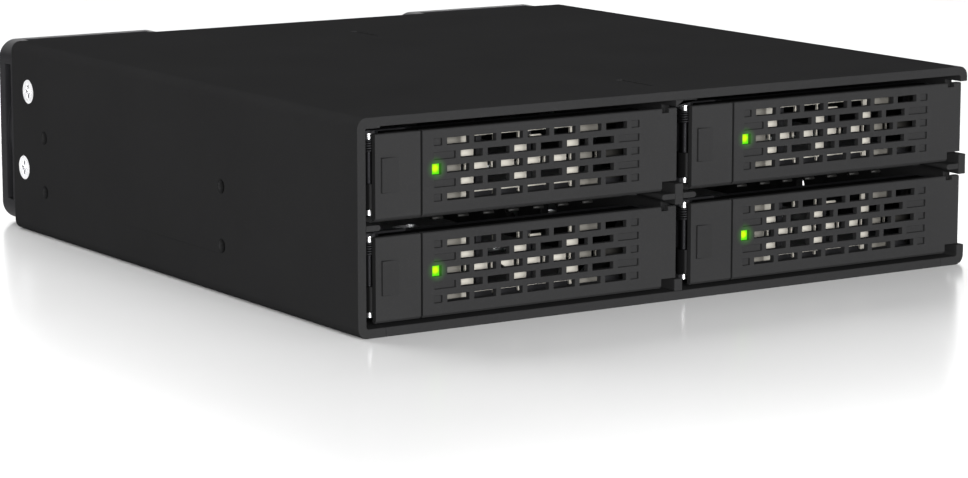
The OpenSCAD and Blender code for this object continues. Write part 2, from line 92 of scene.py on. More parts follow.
class CageSizes(bpy.types.PropertyGroup):
    """Sizes of the edges and of the fittings that are made here"""

    sheet_edge: length("Sheet Edge", "Radius that the paint leaves on the edges of the case sheet", 0.00016)
    door_edge: length("Door Edge", "Radius on the edges of the doors and their slots", 0.0001)
    plastic_edge: length("Plastic Edge", "Radius on the edges of moulded pieces", 0.00014)
    fine_edge: length("Fine Edge", "Radius on the edges of screws, pins and boards", 0.00006)
    spring_wire: length("Spring Wire", "Radius of the wire of the latch springs", 0.00022, least=0.0001)
    spring_turns: IntProperty(
        name="Spring Turns", description="Closed turns of each latch spring", default=5, min=2, max=8
    )
    contact_pitch: length(
        "Contact Pitch", "Spacing of the contacts in the drive sockets", 0.00127, least=0.0005
    )
    finger_pitch: length(
        "Finger Pitch", "Spacing of the earthing fingers under the middle shelves", 0.00575, least=0.002
    )
    # The bright part of each shield is its lit middle; past it the shield gets painted shade
    shield_shift: length(
        "Shield Shift", "How far the bright part of each shield sits left of its middle", 0.0025, least=-0.01
    )
    shield_reach: length("Shield Reach", "Half the length of the bright part of each shield", 0.0134)


class CageColours(bpy.types.PropertyGroup):
    """Colours of the finishes"""

    case_paint: colour_of(
        "Case Paint", "Powder coat of the case and the sheets inside it", (0.0165, 0.0165, 0.0168)
    )
    door_paint: colour_of("Door Paint", "Paint of the doors and latches", (0.0175, 0.0175, 0.0178))
    plastic: colour_of("Plastic", "Black moulded plastic", (0.012, 0.012, 0.013))
    zinc: colour_of("Zinc", "Zinc-plated sheet of the tray beds", (0.56, 0.57, 0.58))
    shield: colour_of("Shield", "Bright shield behind the door slots", (0.42, 0.4, 0.355))
    bright_steel: colour_of("Bright Steel", "Nickel-plated screws and turned pins", (0.78, 0.78, 0.79))
    spring_steel: colour_of("Spring Steel", "Dark wire of the latch springs", (0.016, 0.016, 0.017))
    finger_steel: colour_of("Finger Steel", "Dark strip of the earthing fingers", (0.035, 0.035, 0.034))
    black_oxide: colour_of("Black Oxide", "Blackened screws of the fans", (0.045, 0.045, 0.048))
    tin: colour_of("Tin", "Tinned leads of the chips", (0.7, 0.71, 0.72))
    brass: colour_of("Brass", "Turned brass of the standoffs", (0.72, 0.53, 0.24))
    gold: colour_of("Gold", "Gold flash on the contacts", (0.93, 0.68, 0.27))
    board: colour_of("Board", "Solder mask of the boards", (0.01, 0.085, 0.035))
    lamp: colour_of("Lamp", "Light of the indicator windows", (0.1, 0.8, 0.0))
    floor: colour_of("Floor", "Pale studio floor", (0.86, 0.86, 0.86))


class CageStudio(bpy.types.PropertyGroup):
    """Camera and lights"""

    lens: FloatProperty(
        name="Lens",
        description="Focal length of the camera",
        default=127.39,
        min=10.0,
        unit="CAMERA",
    )
    camera_place: FloatVectorProperty(
        name="Camera Place",
        description="Where the camera stands",
        default=(-0.390672, -0.611028, 0.126673),
        size=3,
        subtype="TRANSLATION",
        unit="LENGTH",
    )
    camera_turn: FloatVectorProperty(
        name="Camera Turn",
        description="How the camera is turned",
        default=(math.radians(80.146), 0.0, math.radians(-32.948)),
        size=3,
        subtype="EULER",
        unit="ROTATION",
    )
    floor_radius: length("Floor Radius", "Radius of the studio floor", 4.0, least=1.0)
    sky: FloatProperty(
        name="Sky", description="Brightness of the room around the studio", default=0.14, min=0.0
    )
    front_power: power("Front Light", "Power of the low light in front of the doors", 96.0)
    side_power: power("Side Light", "Power of the light on the left wall", 6.0)
    top_power: power("Top Light", "Power of the large light overhead", 17.0)
    back_power: power("Back Light", "Power of the large light behind the fans", 66.0)


# ------------------------------------------------------------------ finishes


class Value:
    """A socket of a finish, so that sums on it can be written as they are thought"""

    def __init__(self, finish, socket):
        self.finish = finish
        self.socket = socket

    def __add__(self, other):
        return self.finish.maths("ADD", self, other)

    __radd__ = __add__

    def __sub__(self, other):
        return self.finish.maths("SUBTRACT", self, other)

    def __rsub__(self, other):
        return self.finish.maths("SUBTRACT", other, self)

    def __mul__(self, other):
        return self.finish.maths("MULTIPLY", self, other)

    __rmul__ = __mul__

    def __lt__(self, other):
        return self.finish.maths("LESS_THAN", self, other)

    def __gt__(self, other):
        return self.finish.maths("GREATER_THAN", self, other)

    def __abs__(self):
        return self.finish.maths("ABSOLUTE", self)


class Finish:
    """A finish being mixed: its material, its shader, and the point on the piece in millimetres"""

    def __init__(self, name, constants):
        self.material = bpy.data.materials.new(name)
        self.material.use_nodes = True
        self.tree = self.material.node_tree
        self.tree.nodes.clear()
        self.shader = self.tree.nodes.new("ShaderNodeBsdfPrincipled")
        output = self.tree.nodes.new("ShaderNodeOutputMaterial")
        self.tree.links.new(self.shader.outputs["BSDF"], output.inputs["Surface"])
        for socket, value in constants.items():
            self.shader.inputs[socket].default_value = value
        place = self.node("ShaderNodeTexCoord", output="Object")
        self.point = self.vectors("SCALE", place, Scale=1000.0)

    def node(self, kind, settings=None, sockets=None, output=0):
        """Adds a node, with its settings first and then the values or links of its sockets"""
        added = self.tree.nodes.new(kind)
        for setting, value in (settings or {}).items():
            setattr(added, setting, value)
        for socket, value in (sockets or {}).items():
            if isinstance(value, Value):
                self.tree.links.new(value.socket, added.inputs[socket])
            else:
                added.inputs[socket].default_value = value
        return Value(self, added.outputs[output])

    def maths(self, operation, *values):
        """A Math node on numbers"""
        return self.node("ShaderNodeMath", {"operation": operation}, dict(enumerate(values)))

    def vectors(self, operation, *values, output=0, **named):
        """A Vector Math node"""
        sockets = {**dict(enumerate(values)), **named}
        return self.node("ShaderNodeVectorMath", {"operation": operation}, sockets, output)

    def axis(self, letter):
        """One coordinate of the point, in millimetres"""
        return self.node("ShaderNodeSeparateXYZ", sockets={0: self.point}, output=letter)

    def noise(self, size, detail=2.0, stretch=(1.0, 1.0, 1.0), shift=0.0):
        """Noise from 0 to 1 whose blotches are about size millimetres across"""
        spread = self.vectors("MULTIPLY_ADD", self.point, stretch, (shift, shift, shift))
        return self.node(
            "ShaderNodeTexNoise",
            sockets={"Vector": spread, "Scale": 1.0 / size, "Detail": detail, "Roughness": 0.55},
        )

    def cells(self, size, output="Distance"):
        """Cell pattern with cells about size millimetres across"""
        return self.node(
            "ShaderNodeTexVoronoi",
            sockets={"Vector": self.point, "Scale": 1.0 / size},
            output=output,
        )

    def nearest(self, spots):
        """Distance in millimetres to the nearest of several spots"""
        nearest = None
        for spot in spots:
            there = tuple(part / MM for part in spot)
            away = self.vectors("DISTANCE", self.point, there, output="Value")
            nearest = away if nearest is None else self.maths("MINIMUM", nearest, away)
        return nearest

    def fade(self, value, start, end):
        """A smooth step from 0 at start to 1 at end"""
        return self.node(
            "ShaderNodeMapRange",
            {"interpolation_type": "SMOOTHSTEP"},
            {"Value": value, "From Min": start, "From Max": end},
        )

    def mix(self, share, first, second):
        """Colour that goes from first to second as share goes from 0 to 1"""
        return self.node(
            "ShaderNodeMix",
            {"data_type": "RGBA"},
            {0: share, 6: opaque(first), 7: opaque(second)},
            output=2,
        )

    def relief(self, height, depth, strength=1.0):
        """Bumps whose full height is depth millimetres"""
        bumps = self.node(
            "ShaderNodeBump",
            sockets={"Strength": strength, "Distance": depth * MM, "Height": height},
        )
        self.paint("Normal", bumps)

    def paint(self, socket, value):
        """Links what varies over the surface to the shader"""
        self.tree.links.new(value.socket, self.shader.inputs[socket])


def opaque(colour):
    """A colour with full opacity, or a link as it is"""
    if isinstance(colour, Value):
        return colour
    return (*tuple(colour)[:3], 1.0)


def shade(colour, amount):
    """The same colour made lighter or darker"""
    return tuple(min(1.0, part * amount) for part in tuple(colour)[:3])


def coat(finish, colour, dullness):
    """Gives a finish the coat's speckle, grain and slight orange peel, and returns its colour"""
    grain = finish.noise(0.32, detail=3.0)
    peel = finish.noise(1.7, detail=1.0, shift=40.0)
    cloud = finish.noise(26.0, detail=3.0, shift=90.0)
    speckle = finish.fade(finish.noise(0.16, detail=1.0, shift=7.0), 0.6, 0.78)
    tone = finish.mix(cloud, shade(colour, 0.9), shade(colour, 1.12))
    finish.paint("Roughness", dullness + (cloud - 0.5) * 0.1 + (grain - 0.5) * 0.12)
    finish.relief(grain * 0.65 + peel * 0.35, depth=0.014, strength=0.8)
    return finish.mix(speckle * 0.35, tone, shade(colour, 2.4))


def powder_coat(name, colour, dullness=0.62):
    """Powder coat of the sheets: dull and even"""
    finish = Finish(name, {"Specular IOR Level": 0.0})
    finish.paint("Base Color", coat(finish, colour, dullness))
    return finish.material


def door_coat(name, colour, face, lamps, lamp):
    """Coat of the doors: painted shade makes it near black behind the skin, and a painted glow lights it
    faintly round the lamps
    """
    finish = Finish(name, {"Specular IOR Level": 0.0, "Emission Strength": 1.0})
    # Painted shade: whatever lies more than about 1.5 mm behind the door face is coloured near black, as if
    # in shadow
    behind = finish.fade(finish.axis("Y") - face / MM, 1.35, 1.7)
    finish.paint("Base Color", finish.mix(behind, coat(finish, colour, 0.6), shade(colour, 0.16)))
    # Painted glow: the door paint itself emits a faint green round each lamp window
    halo = 1.0 - finish.fade(finish.nearest(lamps), 0.8, 3.0)
    finish.paint("Emission Color", finish.mix(halo * halo * 0.16, DARK, lamp))
    return finish.material


def moulded_plastic(name, colour, dullness=0.45, grain_size=0.22):
    """Glass-filled plastic: etched mould grain and faint flow lines"""
    finish = Finish(name, {"Specular IOR Level": 0.02})
    grain = finish.noise(grain_size, detail=2.0)
    flow = finish.noise(5.0, detail=3.0, stretch=(0.25, 1.0, 1.0), shift=13.0)
    finish.paint("Base Color", finish.mix(flow, shade(colour, 0.85), shade(colour, 1.35)))
    finish.paint("Roughness", dullness + (flow - 0.5) * 0.12 + (grain - 0.5) * 0.14)
    finish.relief(grain, depth=0.01, strength=0.7)
    return finish.material


def zinc_sheet(name, colour):
    """Zinc-plated sheet: rolling lines, pale spangles and dull patches"""
    finish = Finish(name, {"Metallic": 1.0})
    rolling = finish.noise(0.35, detail=4.0, stretch=(1.0, 0.08, 1.0))
    spangle = finish.cells(3.2, output="Color")
    flake = finish.node("ShaderNodeSeparateColor", sockets={0: spangle}, output=0)
    cloud = finish.noise(14.0, detail=3.0, shift=31.0)
    tone = finish.mix(flake * 0.5 + cloud * 0.5, shade(colour, 0.82), shade(colour, 1.14))
    finish.paint("Base Color", finish.mix(rolling * 0.3, tone, shade(colour, 0.7)))
    finish.paint("Roughness", 0.3 + rolling * 0.16 + cloud * 0.12)
    finish.relief(rolling, depth=0.006, strength=0.6)
    return finish.material


def bright_shield(name, colour, middles, reach):
    """Pale passivated shield: satin, slightly warm, with brushed lines; painted shade makes its ends darker
    and its tips near black
    """
    finish = Finish(name, {"Metallic": 0.15, "Specular IOR Level": 0.2})
    brushed = finish.noise(0.22, detail=3.0, stretch=(0.1, 1.0, 1.0))
    cloud = finish.noise(9.0, detail=2.0, shift=17.0)
    along = finish.axis("X")
    past = finish.maths("MINIMUM", *(abs(along - middle / MM) for middle in middles)) - reach / MM
    # Painted shade: past the lit middle of each tray's shield the colour goes darker, and near black at the
    # tips
    ends = finish.fade(past + (cloud - 0.5) * 0.4, -0.3, 0.3)
    bright = finish.mix(cloud, shade(colour, 0.9), shade(colour, 1.06))
    tips = finish.fade(past, 4.4, 4.8)
    shaded_ends_colour = finish.mix(tips, shade(colour, 0.32), shade(colour, 0.03))
    finish.paint("Base Color", finish.mix(ends, bright, shaded_ends_colour))
    finish.paint("Roughness", 0.4 + brushed * 0.18)
    finish.relief(brushed, depth=0.002, strength=0.4)
    return finish.material


def turned_metal(name, colour, dullness, lines=EVEN):
    """Turned or drawn metal: tool lines, a few handling marks"""
    finish = Finish(name, {"Metallic": 1.0})
    tool = finish.noise(0.5, detail=2.0, stretch=lines)
    marks = finish.fade(finish.noise(0.7, detail=4.0, shift=61.0), 0.58, 0.7)
    finish.paint("Base Color", finish.mix(marks * 0.5, shade(colour, 1.0), shade(colour, 0.72)))
    finish.paint("Roughness", dullness + tool * 0.1 + marks * 0.1)
    finish.relief(tool, depth=0.0012, strength=0.3)
    return finish.material


def latch_pin_steel(name, colour, low, high, tip, rise):
    """Latch pins: bright turned ends and, between them, a length coloured near black as painted shade, alike
    in both rows
    """
    finish = Finish(name, {"Metallic": 1.0})
    tool = finish.noise(0.5, detail=2.0, stretch=RINGS_ON_Z)
    up = finish.maths("MODULO", finish.axis("Z"), rise / MM)
    start, end, blur = (low + tip) / MM, (high - tip) / MM, 0.15
    # Painted shade: between its bright ends each pin is coloured near black, where it sits in shadow
    middle = finish.fade(up, start, start + blur) * (1.0 - finish.fade(up, end - blur, end))
    finish.paint("Base Color", finish.mix(middle, colour, NEAR_BLACK))
    finish.paint("Roughness", 0.26 + tool * 0.1 + middle * 0.22)
    finish.relief(tool, depth=0.0012, strength=0.3)
    return finish.material


def lit_acrylic(name, lamp, windows):
    """Clear guide lit from behind: yellow in its window, green at the rim, dark along its length"""
    finish = Finish(name, {"Roughness": 0.3, "Specular IOR Level": 0.02, "Emission Strength": 1.0})
    nearest = finish.nearest(windows)
    haze = finish.noise(0.5, detail=2.0)
    rim = finish.fade(nearest + (haze - 0.5) * 0.3, 0.3, 1.05)
    back = finish.fade(nearest, 1.3, 3.0)
    yellow = (0.72, 1.0, 0.0)
    finish.paint("Base Color", finish.mix(haze, (0.008, 0.02, 0.004), (0.014, 0.035, 0.006)))
    finish.paint("Emission Color", finish.mix(back, finish.mix(rim, yellow, lamp), DARK))
    return finish.material


def solder_mask(name, colour):
    """Board: solder mask over copper tracks that run both ways, with plated holes"""
    finish = Finish(name, {"Specular IOR Level": 0.55})
    across, deep, up = finish.axis("X"), finish.axis("Y"), finish.axis("Z")
    patch = finish.node(
        "ShaderNodeTexWhiteNoise",
        sockets={0: finish.vectors("SNAP", finish.point, (11.0, 13.0, 9.0))},
    )
    rungs = finish.fade(finish.maths("PINGPONG", across + deep, 0.6), 0.28, 0.34)
    rows = finish.fade(finish.maths("PINGPONG", up + deep, 0.6), 0.28, 0.34)
    tracks = rungs * (patch > 0.5) + rows * (patch < 0.35)
    holes = 1.0 - finish.fade(finish.cells(4.6), 0.06, 0.075)
    weave = finish.noise(0.5, detail=2.0)
    mask = finish.mix(tracks, shade(colour, 0.75), shade(colour, 1.7))
    mask = finish.mix(weave * 0.25, mask, shade(colour, 0.4))
    plated = (0.8, 0.62, 0.3)
    finish.paint("Base Color", finish.mix(holes, mask, plated))
    finish.paint("Metallic", holes)
    finish.paint("Roughness", 0.24 + weave * 0.12)
    finish.relief(tracks + weave * 0.2 - holes, depth=0.03, strength=0.8)
    return finish.material


def gold_flash(name, colour):
    """Gold flash over nickel, worn a little paler along the wipe line"""
    finish = Finish(name, {"Metallic": 1.0})
    wipe = finish.noise(0.4, detail=3.0, stretch=(1.0, 0.2, 1.0))
    pale = (0.95, 0.78, 0.45)
    finish.paint("Base Color", finish.mix(wipe, shade(colour, 0.85), pale))
    finish.paint("Roughness", 0.18 + wipe * 0.16)
    return finish.material


def chip_epoxy(name):
    """Moulded epoxy of the chips"""
    finish = Finish(name, {"Specular IOR Level": 0.4})
    grit = finish.noise(0.12, detail=2.0)
    finish.paint("Base Color", finish.mix(grit, NEAR_BLACK, (0.03, 0.03, 0.032)))
    finish.paint("Roughness", 0.5 + grit * 0.2)
    finish.relief(grit, depth=0.008, strength=0.6)
    return finish.material


def ceramic(name):
    """Tan ceramic of the small capacitors"""
    finish = Finish(name, {"Specular IOR Level": 0.5})
    grit = finish.noise(0.2, detail=2.0)
    finish.paint("Base Color", finish.mix(grit, (0.28, 0.19, 0.11), (0.42, 0.3, 0.19)))
    finish.paint("Roughness", 0.35 + grit * 0.15)
    return finish.material


def printed_label(name, centres, ring):
    """Blank foil label with one printed ring"""
    finish = Finish(name, {"Specular IOR Level": 0.5})
    across = abs(finish.axis("X")) - abs(centres[0]) / MM
    up = finish.axis("Z") - centres[1] / MM
    away = finish.maths("SQRT", across * across + up * up)
    line = finish.fade(away, ring - 0.25, ring - 0.15) * (1.0 - finish.fade(away, ring + 0.15, ring + 0.25))
    fibre = finish.noise(0.3, detail=3.0)
    paper = finish.mix(fibre, (0.5, 0.51, 0.52), (0.6, 0.61, 0.62))
    finish.paint("Base Color", finish.mix(line, paper, (0.05, 0.05, 0.055)))
    finish.paint("Roughness", 0.38 + fibre * 0.12)
    finish.relief(fibre, depth=0.004, strength=0.4)
    return finish.material


def studio_floor(name, colour):
    """Pale satin board"""
    finish = Finish(name, {"Specular IOR Level": 0.5})
    cloud = finish.noise(60.0, detail=2.0)
    finish.paint("Base Color", finish.mix(cloud, shade(colour, 0.99), shade(colour, 1.01)))
    finish.paint("Roughness", 0.22 + cloud * 0.04)
    return finish.material


def dress(node, material):
    """Gives a CAD node its finish"""
    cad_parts[node].material_slots[0].material = material


def soften(piece, radius, sharpest=32.0):
    """Rounds the edges of a piece that turn by more than sharpest degrees, so that they catch the light"""
    joined = piece.modifiers.new("Join Corners", "WELD")
    joined.merge_threshold = 1e-6
    flat = piece.modifiers.new("Merge Flats", "DECIMATE")
    flat.decimate_type = "DISSOLVE"
    flat.angle_limit = math.radians(0.4)
    edges = piece.modifiers.new("Round Edges", "BEVEL")
    edges.width = radius
    edges.segments = 2
    edges.limit_method = "ANGLE"
    edges.angle_limit = math.radians(sharpest)
    edges.use_clamp_overlap = False
    even = piece.modifiers.new("Even Shading", "WEIGHTED_NORMAL")
    even.keep_sharp = True


def finish_nodes(nodes, material, radius):
    """Finishes several CAD nodes alike and softens their edges"""
    for node in nodes:
        dress(node, material)
        soften(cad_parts[node], radius)


# ------------------------------------------------------------------ piece making


def centre_of(node):
    """Middle of a CAD node's box"""
    low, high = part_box(node)
    return (low + high) / 2


def window_spots():
    """Middle of the front face of each light guide"""
    spots = []
    for tray in TRAYS:
        low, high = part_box(f"tray{tray}_light_pipe")
        spots.append(((low.x + high.x) / 2, low.y, high.z - (high.x - low.x) / 2))
    return spots


def add_box(mesh, low, high):
    """Adds a box between two corners"""
    size = Vector(high) - Vector(low)
    place = Matrix.Translation((Vector(low) + Vector(high)) / 2) @ Matrix.Diagonal((*size, 1.0))
    bmesh.ops.create_cube(mesh, size=1.0, matrix=place)


def add_strip(mesh, outline, left, right):
    """Adds a strip: an outline of (y, z) points pulled from x = left to x = right"""
    near = [mesh.verts.new((left, y, z)) for y, z in outline]
    far = [mesh.verts.new((right, y, z)) for y, z in outline]
    mesh.faces.new(near[::-1])
    mesh.faces.new(far)
    for i in range(len(outline)):
        j = (i + 1) % len(outline)
        mesh.faces.new((near[i], near[j], far[j], far[i]))


def add_wire(mesh, path, radius, sides=10):
    """Adds a round wire along a path, with closed ends"""
    rings = []
    side = None
    for i, point in enumerate(path):
        ahead = path[min(i + 1, len(path) - 1)] - path[max(i - 1, 0)]
        ahead.normalize()
        if side is None:
            side = ahead.orthogonal().normalized()
        side = (side - ahead * side.dot(ahead)).normalized()
        other = ahead.cross(side)
        turns = [2 * math.pi * k / sides for k in range(sides)]
        rings.append(
            [mesh.verts.new(point + (side * math.cos(a) + other * math.sin(a)) * radius) for a in turns]
        )
    for near, far in zip(rings, rings[1:]):
        for k in range(sides):
            mesh.faces.new((near[k], near[(k + 1) % sides], far[(k + 1) % sides], far[k]))
    mesh.faces.new(rings[0][::-1])
    mesh.faces.new(rings[-1])


def make_piece(name, mesh, body, material, smooth=True):
    """Turns a mesh into a piece that rides on a body"""
    bmesh.ops.recalc_face_normals(mesh, faces=mesh.faces)
    data = bpy.data.meshes.new(name)
    mesh.to_mesh(data)
    mesh.free()
    data.materials.append(material)
    for face in data.polygons:
        face.use_smooth = smooth
    piece = bpy.data.objects.new(name, data)
    bpy.context.scene.collection.objects.link(piece)
    if body is None:
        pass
    else:
        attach(piece, body)
    return piece


# ------------------------------------------------------------------ operators


class CAGE_OT_case(bpy.types.Operator):
    """Powder-coat the outer case and its bottom plate"""

    bl_idname = "cage.case"
    bl_label = "Case"

    def execute(self, context):
        scene = context.scene
        paint = powder_coat("case_powder_coat", scene.cage_colours.case_paint)
        finish_nodes(["case_shell", "bottom_plate"], paint, scene.cage_sizes.sheet_edge)
        return {"FINISHED"}


class CAGE_OT_inner_sheets(bpy.types.Operator):
    """Powder-coat the divider, the shelves and the rear panel"""

    bl_idname = "cage.inner_sheets"
    bl_label = "Inner Sheets"

    def execute(self, context):
        scene = context.scene
        paint = powder_coat("inner_powder_coat", scene.cage_colours.case_paint, dullness=0.66)
        nodes = ["divider", "shelf_left", "shelf_right", "rear_panel"]
        finish_nodes(nodes, paint, scene.cage_sizes.sheet_edge)
        return {"FINISHED"}


class CAGE_OT_doors(bpy.types.Operator):
    """Paint the grille doors and latches, with painted shade behind their faces and a painted glow of the
    lamp around its window
    """

    bl_idname = "cage.doors"
    bl_label = "Doors and Latches"

    def execute(self, context):
        scene = context.scene
        colours = scene.cage_colours
        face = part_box("tray1_lever")[0].y
        paint = door_coat("door_paint", colours.door_paint, face, window_spots(), colours.lamp)
        nodes = [f"tray{tray}_{part}" for tray in TRAYS for part in ("lever", "latch")]
        finish_nodes(nodes, paint, scene.cage_sizes.door_edge)
        return {"FINISHED"}


class CAGE_OT_tray_fronts(bpy.types.Operator):
    """Finish the moulded tray fronts, the bright shields and the light guides"""

    bl_idname = "cage.tray_fronts"
    bl_label = "Tray Fronts"

    def execute(self, context):
        scene = context.scene
        colours, sizes = scene.cage_colours, scene.cage_sizes
        plastic = moulded_plastic("tray_plastic", colours.plastic)
        middles = [centre_of(f"tray{tray}_vent").x - sizes.shield_shift for tray in TRAYS[:2]]
        shield = bright_shield("shield_plate", colours.shield, middles, sizes.shield_reach)
        guide = lit_acrylic("light_guide", colours.lamp, window_spots())
        finish_nodes([f"tray{tray}_frame" for tray in TRAYS], plastic, sizes.plastic_edge)
        finish_nodes([f"tray{tray}_vent" for tray in TRAYS], shield, sizes.fine_edge)
        finish_nodes([f"tray{tray}_light_pipe" for tray in TRAYS], guide, sizes.fine_edge)
        return {"FINISHED"}


class CAGE_OT_tray_beds(bpy.types.Operator):
    """Finish the zinc-plated beds of the trays"""

    bl_idname = "cage.tray_beds"
    bl_label = "Tray Beds"

    def execute(self, context):
        scene = context.scene
        zinc = zinc_sheet("zinc_sheet", scene.cage_colours.zinc)
        finish_nodes([f"tray{tray}_bed" for tray in TRAYS], zinc, scene.cage_sizes.fine_edge)
        return {"FINISHED"}


class CAGE_OT_fasteners(bpy.types.Operator):
    """Finish the screws, pins and standoffs"""

    bl_idname = "cage.fasteners"
    bl_label = "Screws and Pins"

    def execute(self, context):
        scene = context.scene
        colours, edge = scene.cage_colours, scene.cage_sizes.fine_edge
        nickel = turned_metal("nickel_plate", colours.bright_steel, 0.2)
        pins = turned_metal("turned_steel", colours.bright_steel, 0.24, RINGS_ON_Z)
        brass = turned_metal("turned_brass", colours.brass, 0.28, RINGS_ON_Y)
        black = turned_metal("black_oxide", colours.black_oxide, 0.4)
        finish_nodes(["side_screws", "backplane_screws"], nickel, edge)
        finish_nodes([f"tray{tray}_lever_pin" for tray in TRAYS], pins, edge)
        low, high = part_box("tray3_latch_pin")
        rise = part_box("tray1_latch_pin")[0].z - low.z
        tip = 0.95 * MM
        ends = latch_pin_steel("latch_pin_steel", colours.bright_steel, low.z, high.z, tip, rise)
        finish_nodes([f"tray{tray}_latch_pin" for tray in TRAYS], ends, edge)
        finish_nodes(["standoffs"], brass, edge)
        finish_nodes(["fan_screws"], black, edge)
        return {"FINISHED"}


class CAGE_OT_springs(bpy.types.Operator):
    """Wind the latch springs, each with a leg on the latch and a leg on the tray"""

    bl_idname = "cage.springs"
    bl_label = "Latch Springs"

    def execute(self, context):
        scene = context.scene
        sizes = scene.cage_sizes
        wire, turns = sizes.spring_wire, sizes.spring_turns
        steel = turned_metal("spring_wire", scene.cage_colours.spring_steel, 0.5)
        for tray in TRAYS:
            node = f"tray{tray}_spring"
            pin = centre_of(f"tray{tray}_latch_pin")
            low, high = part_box(node)
            rise = (high.z - low.z - 2 * wire) / turns
            start = Vector((pin.x, high.y - wire, low.z + wire))
            path = self.path(pin, start, pin.x - low.x - wire, turns, rise)
            mesh = bmesh.new()
            add_wire(mesh, path, wire)
            piece = make_piece(f"tray{tray}_spring_wire", mesh, f"tray{tray}", steel)
            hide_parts(node)
        return {"FINISHED"}

    @staticmethod
    def path(pin, start, coil, turns, rise, steps=28):
        """Leg against the tray, closed turns of radius coil round the pin, then a short leg on the latch"""
        path = [Vector((pin.x + coil, start.y, start.z))]
        for step in range(turns * steps + 1):
            angle = 2 * math.pi * step / steps
            across, back = coil * math.cos(angle), coil * math.sin(angle)
            path.append(Vector((pin.x + across, pin.y + back, start.z + rise * step / steps)))
        top = path[-1].z
        for out, ahead, drop in ((0.5, 0.35, 0.1), (1.3, 0.7, 0.2)):
            path.append(Vector((pin.x + coil + out * MM, pin.y - ahead * MM, top - drop * MM)))
        return path


class CAGE_OT_fingers(bpy.types.Operator):
    """Add the earthing fingers under the front edge of the middle shelves"""

    bl_idname = "cage.fingers"
    bl_label = "Earthing Fingers"

    # Section of a finger, in millimetres behind the strip's edge and below the shelf
    OUTLINE = (
        (0.7, 0.02),
        (0.1, 0.2),
        (-0.1, 0.5),
        (0.15, 0.75),
        (0.9, 0.6),
        (0.9, 0.5),
        (0.25, 0.62),
        (0.05, 0.5),
        (0.2, 0.3),
        (0.8, 0.14),
    )

    def execute(self, context):
        scene = context.scene
        pitch = scene.cage_sizes.finger_pitch
        steel = turned_metal("finger_spring", scene.cage_colours.finger_steel, 0.6)
        behind_front, margin, first, width = 9.0 * MM, 6.0 * MM, 20.0 * MM, 2.4 * MM
        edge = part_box("case_shell")[0].y + behind_front
        for side in SIDES:
            low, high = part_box(f"shelf_{side}")
            outline = [(edge + depth * MM, low.z - drop * MM) for depth, drop in self.OUTLINE]
            mesh = bmesh.new()
            strip_low = (low.x + margin, edge + 0.6 * MM, low.z - 0.14 * MM)
            add_box(mesh, strip_low, (high.x - margin, edge + 4.5 * MM, low.z - 0.01 * MM))
            for i in range(int((high.x - low.x - first - margin) / pitch)):
                left = low.x + first + i * pitch
                add_strip(mesh, outline, left, left + width)
            make_piece(f"earthing_fingers_{side}", mesh, "cage", steel)
        return {"FINISHED"}


class CAGE_OT_boards(bpy.types.Operator):
    """Finish the boards and add their chips and capacitors"""

    bl_idname = "cage.boards"
    bl_label = "Boards"

    def execute(self, context):
        scene = context.scene
        sizes = scene.cage_sizes
        mask = solder_mask("solder_mask", scene.cage_colours.board)
        finish_nodes(["backplane", "port_board"], mask, sizes.fine_edge)
        epoxy, tan = chip_epoxy("chip_epoxy"), ceramic("capacitor_ceramic")
        tin = turned_metal("tin_leads", scene.cage_colours.tin, 0.3)
        low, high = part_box("backplane")
        chips, leads, caps, ends = (bmesh.new() for _ in range(4))
        for side in (-1, 1):
            for row, width in ((-12.0, 5.0), (9.0, 7.0)):
                middle = Vector((side * 20 * MM, high.y, centre_of("backplane").z + row * MM))
                self.chip(chips, leads, middle, width)
        first, pitch = -62, 9.4
        for i in range(14):
            for face, out, up in ((low.y, -1, 3.2), (high.y, 1, 2.4)):
                place = ((first + i * pitch) * MM, face, low.z + up * MM)
                self.capacitor(caps, ends, place, out)
        for name, mesh, material in (
            ("board_chips", chips, epoxy),
            ("board_leads", leads, tin),
            ("board_capacitors", caps, tan),
            ("board_capacitor_ends", ends, tin),
        ):
            piece = make_piece(name, mesh, "cage", material)
            soften(piece, sizes.fine_edge)
        return {"FINISHED"}

    @staticmethod
    def chip(chips, leads, middle, width, pitch=0.65):
        """Adds a chip of a width in millimetres to the board's back, with leads above and below it"""
        half = width / 2 * MM
        tall = half * 0.8
        foot, lid = middle.y + 0.12 * MM, middle.y + 1.3 * MM
        add_box(chips, (middle.x - half, foot, middle.z - tall), (middle.x + half, lid, middle.z + tall))
        for i in range(int(width / pitch) - 1):
            x = middle.x - half + (pitch + i * pitch) * MM
            for end in (-1, 1):
                root = middle.z + end * tall
                bottom, top = sorted((root, root + end * 0.9 * MM))
                near, far = (x - 0.12 * MM, middle.y + 0.01 * MM), (x + 0.12 * MM, middle.y + 0.3 * MM)
                add_box(leads, (*near, bottom), (*far, top))

    @staticmethod
    def capacitor(caps, ends, place, out):
        """Adds a small capacitor with its two metal ends to the face of the board that looks out"""
        x, face, z = place
        near, far = sorted((face + out * 0.02 * MM, face + out * 0.8 * MM))
        span, end = 1.2 * MM, 0.3 * MM
        add_box(caps, (x, near, z), (x + span, far, z + 0.8 * MM))
        for left in (x - end, x + span):
            add_box(ends, (left, near, z - 0.02 * MM), (left + end, far, z + 0.82 * MM))


